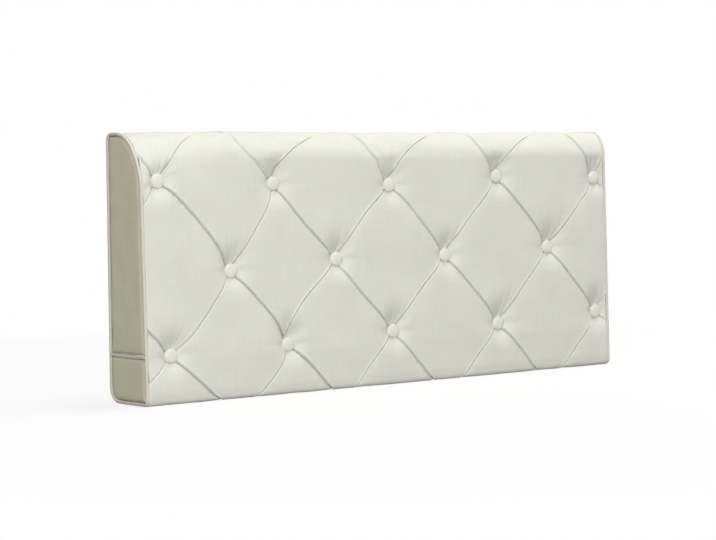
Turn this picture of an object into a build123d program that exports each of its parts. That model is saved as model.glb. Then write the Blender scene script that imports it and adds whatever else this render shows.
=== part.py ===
from build123d import *
import math
import os

# A button-tufted headboard pad: a boxed, fabric-covered slab on a light wooden frame.
# Frame of the part: +X along the length, the tufted front faces -Y, +Z up.
# The origin lies under the middle of the slab, on the surface that it stands on.

# Overall size
LENGTH = 1200.0
HEIGHT = 500.0
DEPTH = 124.0

# Side outline: the front leans back a little, then rolls over a wide shoulder on to the crest.
# Towards the right end the corner is stuffed fuller, and its two radii shrink evenly.
FRONT_LEAN_DEGREES = 1.5
SHOULDER_DEGREES = 40.0
SHOULDER_RADIUS = 135.0
CREST_RADIUS = 70.0
FULL_SHOULDER_RADIUS = 66.0
FULL_CREST_RADIUS = 24.0
FULL_RUN = 200.0
BACK_CREST_RADIUS = 16.0
FRONT_FOOT_RADIUS = 12.0
BACK_FOOT_RADIUS = 30.0
INNER_EASE_RADIUS = 1.5

# Cloth, wadding and piping
PIPING_DIAMETER = 6.5
PIPING_PROUD = 1.5
CLOTH = 1.5
QUILT = 14.0
END_WADDING = 6.0
DUST_CLOTH = 1.0
TAB_WIDTH = 34.0
CROSS_PIPING_HEIGHT = 90.0
CLEARANCE = 0.3
OVERRUN = 5.0

# Wooden frame
BOARD = 9.0
RAIL_HEIGHT = 44.0
RAIL_DEPTH = 44.0
STILE = 12.0
STUD_WIDTH = 60.0
CORNER_BLOCK = 50.0
CORNER_BLOCK_THICKNESS = 18.0
FOAM_OVER_BOARD = 5.0
STUD_PLACE_SHARE = 0.2875

# Threaded inserts for the struts of a bed base
INSERT_BORE_RADIUS = 4.0
INSERT_BODY_RADIUS = 6.0
INSERT_LENGTH = 20.0
INSERT_FLANGE_RADIUS = 10.0
INSERT_FLANGE = 1.5
INSERT_LOW = 90.0
INSERT_SPACING = 150.0
STUD_BARE_HALF = 18.0

# Screws and staples
SCREW_RADIUS = 2.0
SCREW_HEAD_RADIUS = 4.0
SCREW_HEAD = 2.4
SCREW_LENGTH = 60.0
BOARD_SCREW_LENGTH = 30.0
SCREW_SPREAD_SHARE = 0.25
BOARD_SCREW_SHARES = (-0.40, -0.13, 0.13, 0.40)
STAPLE_CROWN = 12.0
STAPLE_WIRE = 0.8
STAPLE_LEG = 8.0
STAPLE_INSET = 10.0
STAPLE_STUD_OFFSET = 24.0
STAPLE_ROW_SHARES = (-0.93, -0.64, -0.52, -0.26, 0.0, 0.26, 0.52, 0.64, 0.93)
STAPLE_SIDE_SHARES = (0.33, 0.67)

# Buttons, their shanks and the twine that draws them in
BUTTON_RADIUS = 14.0
BUTTON_RIM = 3.0
BUTTON_CROWN = 6.0
SHANK_RADIUS = 2.5
TWINE_RADIUS = 1.0
KNOT_RADIUS = 2.5
KNOT = 3.0
TWINE_HOLE_RADIUS = 4.0
WASHER_RADIUS = 6.0
WASHER = 1.5

# Tufting: funnel-shaped pockets at the buttons, and pleats that run between them
POCKET_DEPTH = 18.0
POCKET_FLOOR_RADIUS = 15.5
POCKET_MOUTH_RADIUS = 25.0
POCKET_LINING = 3.0
PLEAT_DEPTH = 11.0
PLEAT_HALF_WIDTH = 27.0
PLEAT_LIP = 1.7
PLEAT_BULGE_SHARE = 0.09
PLEAT_MIDDLE_SHARE = 0.66
PLEAT_EDGE_SHARE = 0.45
PLEAT_START_SHARE = 0.7
CREST_FADE_SHARE = 0.7
ROLL_STEPS = 4

# Button places as shares of the length and of the height, set by hand as on the real pad
TOP_ROW_X_SHARES = (-0.463, -0.2425, -0.002, 0.240, 0.476)
TOP_ROW_Z_SHARES = (0.820, 0.804, 0.790, 0.817, 0.803)
MIDDLE_ROW_X_SHARES = (-0.330, -0.119, 0.117, 0.357)
MIDDLE_ROW_Z_SHARES = (0.480, 0.506, 0.502, 0.516)
BOTTOM_ROW_X_SHARES = (-0.448, -0.222, -0.002, 0.235, 0.473)
BOTTOM_ROW_Z_SHARES = (0.179, 0.1905, 0.210, 0.211, 0.2315)
CREST_MEET_SHARE = 0.42
FOOT_MEET_SHARE = 0.40
END_RISE_SHARE = 0.9

# Levels that follow from the sizes above, counted from the front (-Y) to the back (+Y)
BACK_FACE = DEPTH / 2
TAB_FACE = BACK_FACE - DUST_CLOTH
FRAME_BACK = TAB_FACE - CLOTH
BOARD_BACK = FRAME_BACK - RAIL_DEPTH
BOARD_FRONT = BOARD_BACK - BOARD
CORE_INSET = PIPING_PROUD + QUILT
PIPING_RADIUS = PIPING_DIAMETER / 2
FRAME_BOTTOM = CLOTH
PANEL_OUTSIDE = LENGTH / 2 - PIPING_PROUD
PANEL_INSIDE = PANEL_OUTSIDE - CLOTH
FRAME_END = PANEL_INSIDE - END_WADDING
COVER_END = LENGTH / 2 - PIPING_DIAMETER
FULL_START = LENGTH / 2 - FULL_RUN
LEAN = math.radians(FRONT_LEAN_DEGREES)
SHOULDER = math.radians(SHOULDER_DEGREES)

nodes = {}


def tangent_centre(inset, radius, height):
    """Y of the centre of an arc of that radius, at that height, which touches the inset front."""
    above_foot = height - FRONT_FOOT_RADIUS
    return -DEPTH / 2 + (inset + radius) / math.cos(LEAN) + math.tan(LEAN) * above_foot


def roll_centres(inset, x=0.0):
    """Centres and radii of the shoulder arc and the crest arc of the outline at x, drawn in by inset."""
    full = min(max((x - FULL_START) / FULL_RUN, 0.0), 1.0)
    crest = CREST_RADIUS + (FULL_CREST_RADIUS - CREST_RADIUS) * full - inset
    shoulder = SHOULDER_RADIUS + (FULL_SHOULDER_RADIUS - SHOULDER_RADIUS) * full - inset
    spread = shoulder - crest
    crest_z = HEIGHT - inset - crest
    shoulder_z = crest_z - spread * math.sin(SHOULDER)
    shoulder_y = tangent_centre(inset, shoulder, shoulder_z)
    crest_y = shoulder_y - spread * math.cos(SHOULDER)
    return (shoulder_y, shoulder_z), shoulder, (crest_y, crest_z), crest


def side_outline(inset, back=None, bottom=None, x=0.0):
    """The closed side outline at x in the YZ plane, drawn in by inset, with its own back and bottom."""
    back = inset if back is None else back
    bottom = inset if bottom is None else bottom
    (sy, sz), shoulder, (cy, cz), crest = roll_centres(inset, x)
    rear = BACK_FACE - back
    top = HEIGHT - inset
    back_crest = max(BACK_CREST_RADIUS - back, INNER_EASE_RADIUS)
    back_foot = max(BACK_FOOT_RADIUS - back, INNER_EASE_RADIUS)
    foot = max(FRONT_FOOT_RADIUS - inset, INNER_EASE_RADIUS)
    foot_z = bottom + foot
    foot_y = tangent_centre(inset, foot, foot_z)
    low_y = foot_y - foot * math.cos(LEAN)
    low_z = foot_z + foot * math.sin(LEAN)
    high_y = sy - shoulder * math.cos(LEAN)
    high_z = sz + shoulder * math.sin(LEAN)
    lean = FRONT_LEAN_DEGREES
    edges = [
        Line((foot_y, bottom), (rear - back_foot, bottom)),
        CenterArc((rear - back_foot, bottom + back_foot), back_foot, -90, 90),
        Line((rear, bottom + back_foot), (rear, top - back_crest)),
        CenterArc((rear - back_crest, top - back_crest), back_crest, 0, 90),
        Line((rear - back_crest, top), (cy, top)),
        CenterArc((cy, cz), crest, 90, 90 - SHOULDER_DEGREES),
        CenterArc((sy, sz), shoulder, 180 - SHOULDER_DEGREES, SHOULDER_DEGREES - lean),
        Line((high_y, high_z), (low_y, low_z)),
        CenterArc((foot_y, foot_z), foot, 180 - lean, 90 + lean),
    ]
    return edges


def slab(edges, start, end):
    """The outline carried along X from start to end."""
    face = Plane.YZ.offset(start) * make_face(edges)
    return extrude(face, amount=end - start, dir=(1, 0, 0))


def stuffed(inset, back, bottom, start, end):
    """The body inside the outline from start to end, with the fuller corner at the right end."""
    even = slab(side_outline(inset, back, bottom), start, FULL_START)
    faces = []
    for x in (FULL_START, LENGTH / 2):
        faces.append(Plane.YZ.offset(x) * make_face(side_outline(inset, back, bottom, x)))
    corner = loft(faces, ruled=True)
    if end > LENGTH / 2:
        corner += slab(side_outline(inset, back, bottom, LENGTH / 2), LENGTH / 2, end)
    else:
        corner &= block(FULL_START, end, -DEPTH, DEPTH, -HEIGHT, HEIGHT * 2)
    return even + corner


def block(x_low, x_high, y_low, y_high, z_low, z_high):
    """A block between six planes."""
    size = (x_high - x_low, y_high - y_low, z_high - z_low)
    middle = ((x_low + x_high) / 2, (y_low + y_high) / 2, (z_low + z_high) / 2)
    return Pos(*middle) * Box(*size)


def crest_height(inset, y):
    """Height of the outline, drawn in by inset, over a place y behind the shoulder."""
    _, _, (cy, cz), crest = roll_centres(inset)
    reach = min(max(cy - y, 0), crest)
    return cz + math.sqrt(crest ** 2 - reach ** 2)


FRAME_TOP = crest_height(CORE_INSET, BOARD_FRONT) - FOAM_OVER_BOARD
RAIL_END = FRAME_END - STILE


def surface_at_angle(x, degrees):
    """Point and outward direction on the cover, where its normal rises by that angle."""
    (sy, sz), shoulder, (cy, cz), crest = roll_centres(PIPING_PROUD, x)
    angle = math.radians(degrees)
    normal = Vector(0, -math.cos(angle), math.sin(angle))
    if degrees <= SHOULDER_DEGREES:
        return Vector(x, sy, sz) + normal * shoulder, normal
    return Vector(x, cy, cz) + normal * crest, normal


def surface_at_height(x, z):
    """Point and outward direction on the cover at a height on the front or the shoulder."""
    (sy, sz), shoulder, _, _ = roll_centres(PIPING_PROUD, x)
    if z > sz + shoulder * math.sin(LEAN):
        return surface_at_angle(x, math.degrees(math.asin((z - sz) / shoulder)))
    y = tangent_centre(PIPING_PROUD, 0, z)
    return Vector(x, y, z), Vector(0, -math.cos(LEAN), math.sin(LEAN))


def button_rows():
    """Points and outward directions of the buttons, row by row from the top."""
    tables = (
        (TOP_ROW_X_SHARES, TOP_ROW_Z_SHARES),
        (MIDDLE_ROW_X_SHARES, MIDDLE_ROW_Z_SHARES),
        (BOTTOM_ROW_X_SHARES, BOTTOM_ROW_Z_SHARES),
    )
    rows = []
    for x_shares, z_shares in tables:
        places = zip(x_shares, z_shares)
        rows.append([surface_at_height(x * LENGTH, z * HEIGHT) for x, z in places])
    return rows


ROWS = button_rows()
BUTTONS = [spot for row in ROWS for spot in row]


def spot_plane(point, normal, sink):
    """Plane across a button's axis, sunk below the cover by that much."""
    return Plane(origin=point - normal * sink, x_dir=(1, 0, 0), z_dir=normal)


# Soft form of the tufting
def pleat(stations):
    """Groove whose two sides swell like a pillow, lofted through (point, normal, share) stations."""
    sections = []
    for index, (point, normal, share) in enumerate(stations):
        before = stations[max(index - 1, 0)][0]
        after = stations[min(index + 1, len(stations) - 1)][0]
        along = (after - before).normalized()
        along = (along - normal * along.dot(normal)).normalized()
        plane = Plane(origin=point, x_dir=normal.cross(along), z_dir=along)
        half = PLEAT_HALF_WIDTH * share
        depth = PLEAT_DEPTH * share
        rise = PLEAT_LIP + depth
        bulge = half * PLEAT_BULGE_SHARE
        chord = math.hypot(half, rise)
        lift = (bulge * rise / chord, bulge * half / chord)
        right_bulge = (half / 2 - lift[0], (PLEAT_LIP - depth) / 2 + lift[1])
        left_bulge = (-right_bulge[0], right_bulge[1])
        outline = [
            ThreePointArc((-half, PLEAT_LIP), left_bulge, (0, -depth)),
            ThreePointArc((0, -depth), right_bulge, (half, PLEAT_LIP)),
            Line((half, PLEAT_LIP), (-half, PLEAT_LIP)),
        ]
        sections.append(plane * make_face(outline))
    return loft(sections, ruled=True)


def between_buttons(first, second):
    """Pleat from one button to the next, shallower in the middle."""
    (a, a_normal), (b, b_normal) = first, second
    start = POCKET_FLOOR_RADIUS * PLEAT_START_SHARE / (b - a).length
    ends = []
    for share in (start, 1 - start):
        place = a + (b - a) * share
        ends.append(surface_at_height(place.X, place.Z))
    middle = (a + b) / 2
    point, normal = surface_at_height(middle.X, middle.Z)
    return pleat([(*ends[0], 1.0), (point, normal, PLEAT_MIDDLE_SHARE), (*ends[1], 1.0)])


def over_the_crest(spot, x_end):
    """Pleat from a top button over the shoulder and the crest to the back edge."""
    point, normal = spot
    (_, sz), shoulder, (cy, _), crest = roll_centres(PIPING_PROUD, point.X)
    rise = max(sz + shoulder * math.sin(LEAN) - point.Z, 0.0)
    start_angle = math.degrees(math.asin(normal.Z))
    lower = [start_angle + (SHOULDER_DEGREES - start_angle) * i / ROLL_STEPS for i in range(ROLL_STEPS)]
    upper = [SHOULDER_DEGREES + (90 - SHOULDER_DEGREES) * i / ROLL_STEPS for i in range(ROLL_STEPS + 1)]
    angles = lower + upper
    run = [rise]
    for low, high in zip(angles, angles[1:]):
        radius = shoulder if low < SHOULDER_DEGREES else crest
        run.append(run[-1] + math.radians(high - low) * radius)
    total = run[-1] + BACK_FACE - BACK_CREST_RADIUS - cy
    stations = [(point, normal, 1.0)] if rise > 0 else []
    for angle, reached in zip(angles, run):
        done = reached / total
        x = point.X + (x_end - point.X) * done
        share = max(1.0 - done * CREST_FADE_SHARE, PLEAT_EDGE_SHARE)
        stations.append((*surface_at_angle(x, angle), share))
    crest_point, up = surface_at_angle(x_end, 90)
    rear = Vector(x_end, BACK_FACE + OVERRUN, crest_point.Z)
    stations.append((rear, up, PLEAT_EDGE_SHARE))
    return pleat(stations)


def to_an_edge(spot, x_end, z_end, edge_share):
    """Straight pleat from a button to the foot or to an end of the cover, and past it."""
    point, normal = spot
    end, end_normal = surface_at_height(x_end, z_end)
    way = (end - point).normalized()
    start = point + way * POCKET_FLOOR_RADIUS * PLEAT_START_SHARE
    start_point, start_normal = surface_at_height(start.X, start.Z)
    stations = [(start_point, start_normal, 1.0), (end, end_normal, edge_share)]
    return pleat(stations)


def all_pleats():
    """Every pleat of the front cover."""
    top, middle, bottom = ROWS
    pleats = []
    for row in (top, bottom):
        for index, spot in enumerate(middle):
            pleats.append(between_buttons(row[index], spot))
            pleats.append(between_buttons(row[index + 1], spot))
    for left, right in zip(top, top[1:]):
        gap = right[0].X - left[0].X
        pleats.append(over_the_crest(left, left[0].X + gap * CREST_MEET_SHARE))
        pleats.append(over_the_crest(right, right[0].X - gap * CREST_MEET_SHARE))
    for left, right in zip(bottom, bottom[1:]):
        gap = right[0].X - left[0].X
        reach = gap * FOOT_MEET_SHARE
        pleats.append(to_an_edge(left, left[0].X + reach, -OVERRUN, PLEAT_EDGE_SHARE))
        pleats.append(to_an_edge(right, right[0].X - reach, -OVERRUN, PLEAT_EDGE_SHARE))
    for row in (top, bottom):
        for spot, side in ((row[0], -1), (row[-1], 1)):
            run = abs(side * (COVER_END + OVERRUN) - spot[0].X)
            for way in (-1, 1):
                height = spot[0].Z + way * run * END_RISE_SHARE
                pleats.append(to_an_edge(spot, side * (COVER_END + OVERRUN), height, PLEAT_EDGE_SHARE))
    return pleats


def pocket(spot, floor, floor_radius, mouth_radius):
    """Funnel at a button, from its floor to past the surface of the cover."""
    point, normal = spot
    slope = (mouth_radius - floor_radius) / floor
    height = floor + OVERRUN
    funnel = Cone(floor_radius, floor_radius + slope * height, height)
    return spot_plane(point, normal, floor - height / 2) * funnel


def shank_hole(spot, radius, length):
    """Cylinder inward from the floor of a pocket."""
    point, normal = spot
    return spot_plane(point, normal, POCKET_DEPTH + length / 2) * Cylinder(radius, length)


LINED_DEPTH = POCKET_DEPTH + POCKET_LINING
core = stuffed(CORE_INSET, BACK_FACE - FRAME_BACK, CLOTH, -FRAME_END, FRAME_END)
long_core = stuffed(CORE_INSET, BACK_FACE - FRAME_BACK, CLOTH, -LENGTH, LENGTH)
linings = [
    pocket(spot, LINED_DEPTH, POCKET_FLOOR_RADIUS + POCKET_LINING, POCKET_MOUTH_RADIUS)
    for spot in BUTTONS
]


def make_front_cover():
    """The quilted cover: over the crest, down the front, under the foot, with tabs on the back."""
    outside = stuffed(PIPING_PROUD, BACK_FACE - TAB_FACE, 0, -COVER_END, COVER_END)
    window_low = BACK_FOOT_RADIUS + TAB_WIDTH / 2
    window = block(
        TAB_WIDTH - COVER_END, COVER_END - TAB_WIDTH,
        0, BACK_FACE,
        window_low, HEIGHT - BACK_CREST_RADIUS - TAB_WIDTH,
    )
    cover = outside - long_core
    for spot, lining in zip(BUTTONS, linings):
        cover += lining & core
        cover -= pocket(spot, POCKET_DEPTH, POCKET_FLOOR_RADIUS, POCKET_MOUTH_RADIUS)
        cover -= shank_hole(spot, SHANK_RADIUS + CLEARANCE, POCKET_LINING * 2)
    for groove in all_pleats():
        cover -= groove
    return cover - window


def make_foam():
    """Foam in front of the board, and the strip over the top rail, both inside the quilt."""
    front = core & block(-LENGTH, LENGTH, -DEPTH, BOARD_FRONT, 0, HEIGHT)
    for spot, lining in zip(BUTTONS, linings):
        front -= lining
        front -= shank_hole(spot, TWINE_HOLE_RADIUS, DEPTH)
    top = core & block(-LENGTH, LENGTH, BOARD_FRONT, DEPTH, FRAME_TOP, HEIGHT)
    nodes["front_foam"] = front
    nodes["top_foam"] = top


def make_sides():
    """Wadding, cloth panels and piping of both ends."""
    panel_inset = PIPING_DIAMETER + CLEARANCE
    piping_inset = PIPING_RADIUS
    cross_gap = PIPING_RADIUS + CLEARANCE
    for side, name in ((-1, "left"), (1, "right")):
        end = side * LENGTH / 2
        wadding_edges = side_outline(CORE_INSET, panel_inset, panel_inset, side * FRAME_END)
        panel_edges = side_outline(panel_inset, panel_inset, panel_inset, end)
        path_edges = side_outline(piping_inset, piping_inset, piping_inset + CLEARANCE, end)
        low, high = sorted((side * FRAME_END, side * PANEL_INSIDE))
        wadding = slab(wadding_edges, low, high)
        low, high = sorted((side * PANEL_INSIDE, side * PANEL_OUTSIDE))
        panel = slab(panel_edges, low, high)
        upper = block(-LENGTH, LENGTH, -DEPTH, DEPTH, CROSS_PIPING_HEIGHT + cross_gap, HEIGHT)
        lower = block(-LENGTH, LENGTH, -DEPTH, DEPTH, 0, CROSS_PIPING_HEIGHT - cross_gap)
        nodes[name + "_side_panel"] = panel & upper
        nodes[name + "_lower_panel"] = panel & lower
        x = side * (LENGTH / 2 - PIPING_RADIUS)
        plane = Plane.YZ.offset(x)
        path = Wire([plane * edge for edge in path_edges])
        start = path @ 0
        section = Plane(origin=start, x_dir=(1, 0, 0), z_dir=path % 0) * Circle(PIPING_RADIUS)
        nodes[name + "_piping"] = sweep(section, path=path)
        front = tangent_centre(PIPING_DIAMETER + CLEARANCE, 0, CROSS_PIPING_HEIGHT)
        back = BACK_FACE - PIPING_DIAMETER - CLEARANCE
        seat = Pos(x, (front + back) / 2, CROSS_PIPING_HEIGHT) * Rot(90, 0, 0)
        nodes[name + "_cross_piping"] = seat * Cylinder(PIPING_RADIUS, back - front)
        nodes[name + "_end_wadding"] = wadding - seat * Cylinder(cross_gap, DEPTH * 2)


def screw_solid(length):
    """Countersunk wood screw along -Z, with the face of its head at the origin."""
    head = Cone(SCREW_RADIUS, SCREW_HEAD_RADIUS, SCREW_HEAD)
    shank = Cylinder(SCREW_RADIUS, length - SCREW_HEAD)
    return Pos(0, 0, -SCREW_HEAD / 2) * head + Pos(0, 0, -(length + SCREW_HEAD) / 2) * shank


def screws_at(places, direction, length):
    """The same screw at several places, all driven against one direction."""
    screw = screw_solid(length)
    return [Plane(origin=place, z_dir=direction) * screw for place in places]


def frame_screw_places(side):
    """Two screws through a stile into the end of each rail."""
    depth_middle = (BOARD_BACK + FRAME_BACK) / 2
    spread = RAIL_DEPTH * SCREW_SPREAD_SHARE
    heights = (FRAME_BOTTOM + RAIL_HEIGHT * (1 - SCREW_SPREAD_SHARE), FRAME_TOP - RAIL_HEIGHT / 2)
    return [(side * FRAME_END, depth_middle + y, z) for z in heights for y in (-spread, spread)]


def board_screw_places():
    """Screws through the face board along both rails and down the stiles."""
    low = FRAME_BOTTOM + RAIL_HEIGHT / 2
    high = FRAME_TOP - RAIL_HEIGHT / 2
    far = FRAME_END - STILE / 2
    across = [LENGTH * share for share in BOARD_SCREW_SHARES]
    places = [(x, BOARD_FRONT, z) for x in across for z in (low, high)]
    middle = (low + high) / 2
    places += [(x, BOARD_FRONT, middle) for x in (-far, far)]
    return places


def stud_screw_places():
    """One screw through each rail into each end of the studs, as (place, direction) pairs."""
    depth_middle = (BOARD_BACK + FRAME_BACK) / 2
    stud = LENGTH * STUD_PLACE_SHARE
    top = [((x, depth_middle, FRAME_TOP), (0, 0, 1)) for x in (-stud, stud)]
    bottom = [((x, depth_middle - RAIL_DEPTH / 4, FRAME_BOTTOM), (0, 0, -1)) for x in (-stud, stud)]
    return top + bottom


def insert_places():
    """Centres of the four threaded inserts on the back of the studs."""
    stud = LENGTH * STUD_PLACE_SHARE
    heights = (INSERT_LOW, INSERT_LOW + INSERT_SPACING)
    return [(x, FRAME_BACK, z) for x in (-stud, stud) for z in heights]


def staple_places():
    """Centre and crown direction of each staple, round the edges of the dust cloths."""
    dust_x = LENGTH / 2 - PIPING_DIAMETER - CLEARANCE
    low = BACK_FOOT_RADIUS + STAPLE_INSET
    high = FRAME_TOP - STAPLE_INSET
    far = FRAME_END - STILE / 2
    across = [dust_x * share for share in STAPLE_ROW_SHARES]
    places = [(x, z, True) for x in across for z in (low, high)]
    rise = high - low
    stud = LENGTH * STUD_PLACE_SHARE
    upright = [-far, far]
    upright += [side * stud + way * STAPLE_STUD_OFFSET for side in (-1, 1) for way in (-1, 1)]
    places += [(x, low + rise * share, False) for x in upright for share in STAPLE_SIDE_SHARES]
    return places


def make_staples():
    """Wire staples, crown pressed flush into the dust cloth and legs in the wood."""
    half = STAPLE_CROWN / 2
    under = BACK_FACE - STAPLE_WIRE
    crown = block(-half, half, under, BACK_FACE, -STAPLE_WIRE / 2, STAPLE_WIRE / 2)
    staple = crown
    for side in (-1, 1):
        inner, outer = sorted((side * half, side * (half - STAPLE_WIRE)))
        staple += block(inner, outer, under - STAPLE_LEG, under, -STAPLE_WIRE / 2, STAPLE_WIRE / 2)
    upright = Rot(0, 90, 0) * staple
    return [Pos(x, 0, z) * (staple if level else upright) for x, z, level in staple_places()]


def make_frame():
    """The wooden frame with its face board, blocks, screws, inserts and staples."""
    rail_y = (BOARD_BACK, FRAME_BACK)
    rails_z = {
        "bottom_rail": (FRAME_BOTTOM, FRAME_BOTTOM + RAIL_HEIGHT),
        "top_rail": (FRAME_TOP - RAIL_HEIGHT, FRAME_TOP),
    }
    wood = {}
    for name, (low, high) in rails_z.items():
        wood[name] = core & block(-RAIL_END, RAIL_END, *rail_y, low, high)
    for side, name in ((-1, "left_stile"), (1, "right_stile")):
        low, high = sorted((side * RAIL_END, side * FRAME_END))
        wood[name] = core & block(low, high, *rail_y, FRAME_BOTTOM, FRAME_TOP)
    stud_z = (FRAME_BOTTOM + RAIL_HEIGHT, FRAME_TOP - RAIL_HEIGHT)
    for side, name in ((-1, "left_strut_stud"), (1, "right_strut_stud")):
        x = side * LENGTH * STUD_PLACE_SHARE
        wood[name] = block(x - STUD_WIDTH / 2, x + STUD_WIDTH / 2, *rail_y, *stud_z)
    wood["face_board"] = block(-FRAME_END, FRAME_END, BOARD_FRONT, BOARD_BACK, FRAME_BOTTOM, FRAME_TOP)

    inserts = []
    for x, y, z in insert_places():
        facing = Plane(origin=(x, y, z), x_dir=(1, 0, 0), z_dir=(0, 1, 0))
        body = Pos(0, 0, -INSERT_LENGTH / 2) * Cylinder(INSERT_BODY_RADIUS, INSERT_LENGTH)
        flange = Pos(0, 0, -INSERT_FLANGE / 2) * Cylinder(INSERT_FLANGE_RADIUS, INSERT_FLANGE)
        outside = facing * (body + flange)
        bore = facing * (Pos(0, 0, -INSERT_LENGTH / 2) * Cylinder(INSERT_BORE_RADIUS, INSERT_LENGTH))
        inserts.append(outside - bore)
        side = "left" if x < 0 else "right"
        wood[side + "_strut_stud"] -= outside
    nodes["strut_inserts"] = inserts

    sides_screws = []
    for side, name in ((-1, "left_stile"), (1, "right_stile")):
        screws = screws_at(frame_screw_places(side), (side, 0, 0), SCREW_LENGTH)
        sides_screws += screws
        for screw in screws:
            for piece in (name, "bottom_rail", "top_rail"):
                wood[piece] -= screw
    nodes["frame_screws"] = sides_screws

    board_screws = screws_at(board_screw_places(), (0, -1, 0), BOARD_SCREW_LENGTH)
    for screw in board_screws:
        for piece in ("face_board", "bottom_rail", "top_rail", "left_stile", "right_stile"):
            wood[piece] -= screw
    nodes["board_screws"] = board_screws

    stud_screws = []
    for place, direction in stud_screw_places():
        screw = screws_at([place], direction, SCREW_LENGTH)[0]
        stud_screws.append(screw)
        side = "left" if place[0] < 0 else "right"
        for piece in (side + "_strut_stud", "bottom_rail", "top_rail"):
            wood[piece] -= screw
    nodes["stud_screws"] = stud_screws

    blocks = []
    for side in (-1, 1):
        for z, way in ((stud_z[0], 1), (stud_z[1], -1)):
            corner = (side * RAIL_END, z)
            along = (side * (RAIL_END - CORNER_BLOCK), z)
            up = (side * RAIL_END, z + way * CORNER_BLOCK)
            plane = Plane(origin=(0, FRAME_BACK, 0), x_dir=(1, 0, 0), z_dir=(0, -1, 0))
            face = make_face([Line(corner, along), Line(along, up), Line(up, corner)])
            blocks.append(extrude(plane * face, amount=CORNER_BLOCK_THICKNESS))
    nodes["corner_blocks"] = blocks

    for spot in BUTTONS:
        wood["face_board"] -= shank_hole(spot, TWINE_HOLE_RADIUS, DEPTH)
    return wood


def make_buttons():
    """Covered buttons with shanks, the twine behind each, and a washer and a knot on the board."""
    names = ("top", "middle", "bottom")
    dome = (BUTTON_RADIUS ** 2 + BUTTON_CROWN ** 2) / (2 * BUTTON_CROWN)
    dome_centre = BUTTON_RIM + BUTTON_CROWN - dome
    tilt = math.degrees(math.acos(BUTTON_RADIUS / dome))
    half = [
        Line((0, 0), (BUTTON_RADIUS, 0)),
        Line((BUTTON_RADIUS, 0), (BUTTON_RADIUS, BUTTON_RIM)),
        CenterArc((0, dome_centre), dome, tilt, 90 - tilt),
        Line((0, BUTTON_RIM + BUTTON_CROWN), (0, 0)),
    ]
    cap = revolve(Plane.XZ * make_face(half), axis=Axis.Z)
    shank = Pos(0, 0, -POCKET_LINING / 2) * Cylinder(SHANK_RADIUS, POCKET_LINING)
    button = cap + shank
    twines = []
    washers = []
    for name, row in zip(names, ROWS):
        for number, (point, normal) in enumerate(row, 1):
            plane = spot_plane(point, normal, POCKET_DEPTH - CLEARANCE)
            nodes[name + "_button_" + str(number)] = plane * button
            depth = POCKET_DEPTH - CLEARANCE + POCKET_LINING
            start = point - normal * depth
            reach = (BOARD_BACK - start.Y) / -normal.Y
            board_point = start - normal * reach
            back = Plane(origin=board_point, x_dir=(1, 0, 0), z_dir=normal)
            lean_room = WASHER_RADIUS * abs(normal.Z)
            washer = Cylinder(WASHER_RADIUS, WASHER) - Cylinder(TWINE_RADIUS + CLEARANCE, WASHER)
            washer_middle = lean_room + WASHER / 2
            washers.append(back.offset(-washer_middle) * washer)
            length = reach + lean_room + WASHER
            strand = Pos(0, 0, -length / 2) * Cylinder(TWINE_RADIUS, length)
            knot = Pos(0, 0, -length - KNOT / 2) * Cylinder(KNOT_RADIUS, KNOT)
            twines.append(Plane(origin=start, x_dir=(1, 0, 0), z_dir=normal) * (strand + knot))
    nodes["tufting_twines"] = twines
    nodes["twine_washers"] = washers


def make_back(wood, cover):
    """Dust cloths over the open back, clear of the inserts, and the staples that hold them."""
    far = LENGTH / 2 - PIPING_DIAMETER - CLEARANCE
    low = BACK_FOOT_RADIUS
    high = HEIGHT - BACK_CREST_RADIUS
    outer = LENGTH * STUD_PLACE_SHARE + STUD_BARE_HALF
    inner = LENGTH * STUD_PLACE_SHARE - STUD_BARE_HALF
    spans = ((-far, -outer), (-inner, inner), (outer, far))
    cloths = [block(left, right, TAB_FACE, BACK_FACE, low, high) for left, right in spans]
    staples = make_staples()
    for staple in staples:
        cloths = [cloth - staple for cloth in cloths]
        cover -= staple
        for piece in wood:
            if piece != "face_board":
                wood[piece] -= staple
    nodes["back_cloth"] = cloths
    nodes["cloth_staples"] = staples
    nodes["front_cover"] = cover


def write_parts():
    """One STEP file for each node."""
    os.makedirs("parts", exist_ok=True)
    for name, shape in nodes.items():
        if isinstance(shape, list):
            shape = Compound([solid for item in shape for solid in item.solids()])
        export_step(shape, "parts/" + name + ".step")
        print(name, "solids", len(shape.solids()), "volume", round(shape.volume))


make_foam()
make_sides()
make_buttons()
wood_pieces = make_frame()
make_back(wood_pieces, make_front_cover())
nodes.update(wood_pieces)
write_parts()
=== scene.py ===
# %% [markdown]
# # A button-tufted headboard, cell by cell
#
# The real object is an upholstered slab: wood and foam inside, a linen cover
# pulled in by fourteen covered buttons, and piping round both ends.
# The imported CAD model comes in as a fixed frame, in metres, and every new
# piece is worked out in that same frame, so nothing has to be fitted by eye.

import math

import bpy
import numpy as np
from mathutils import Matrix, Vector


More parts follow.
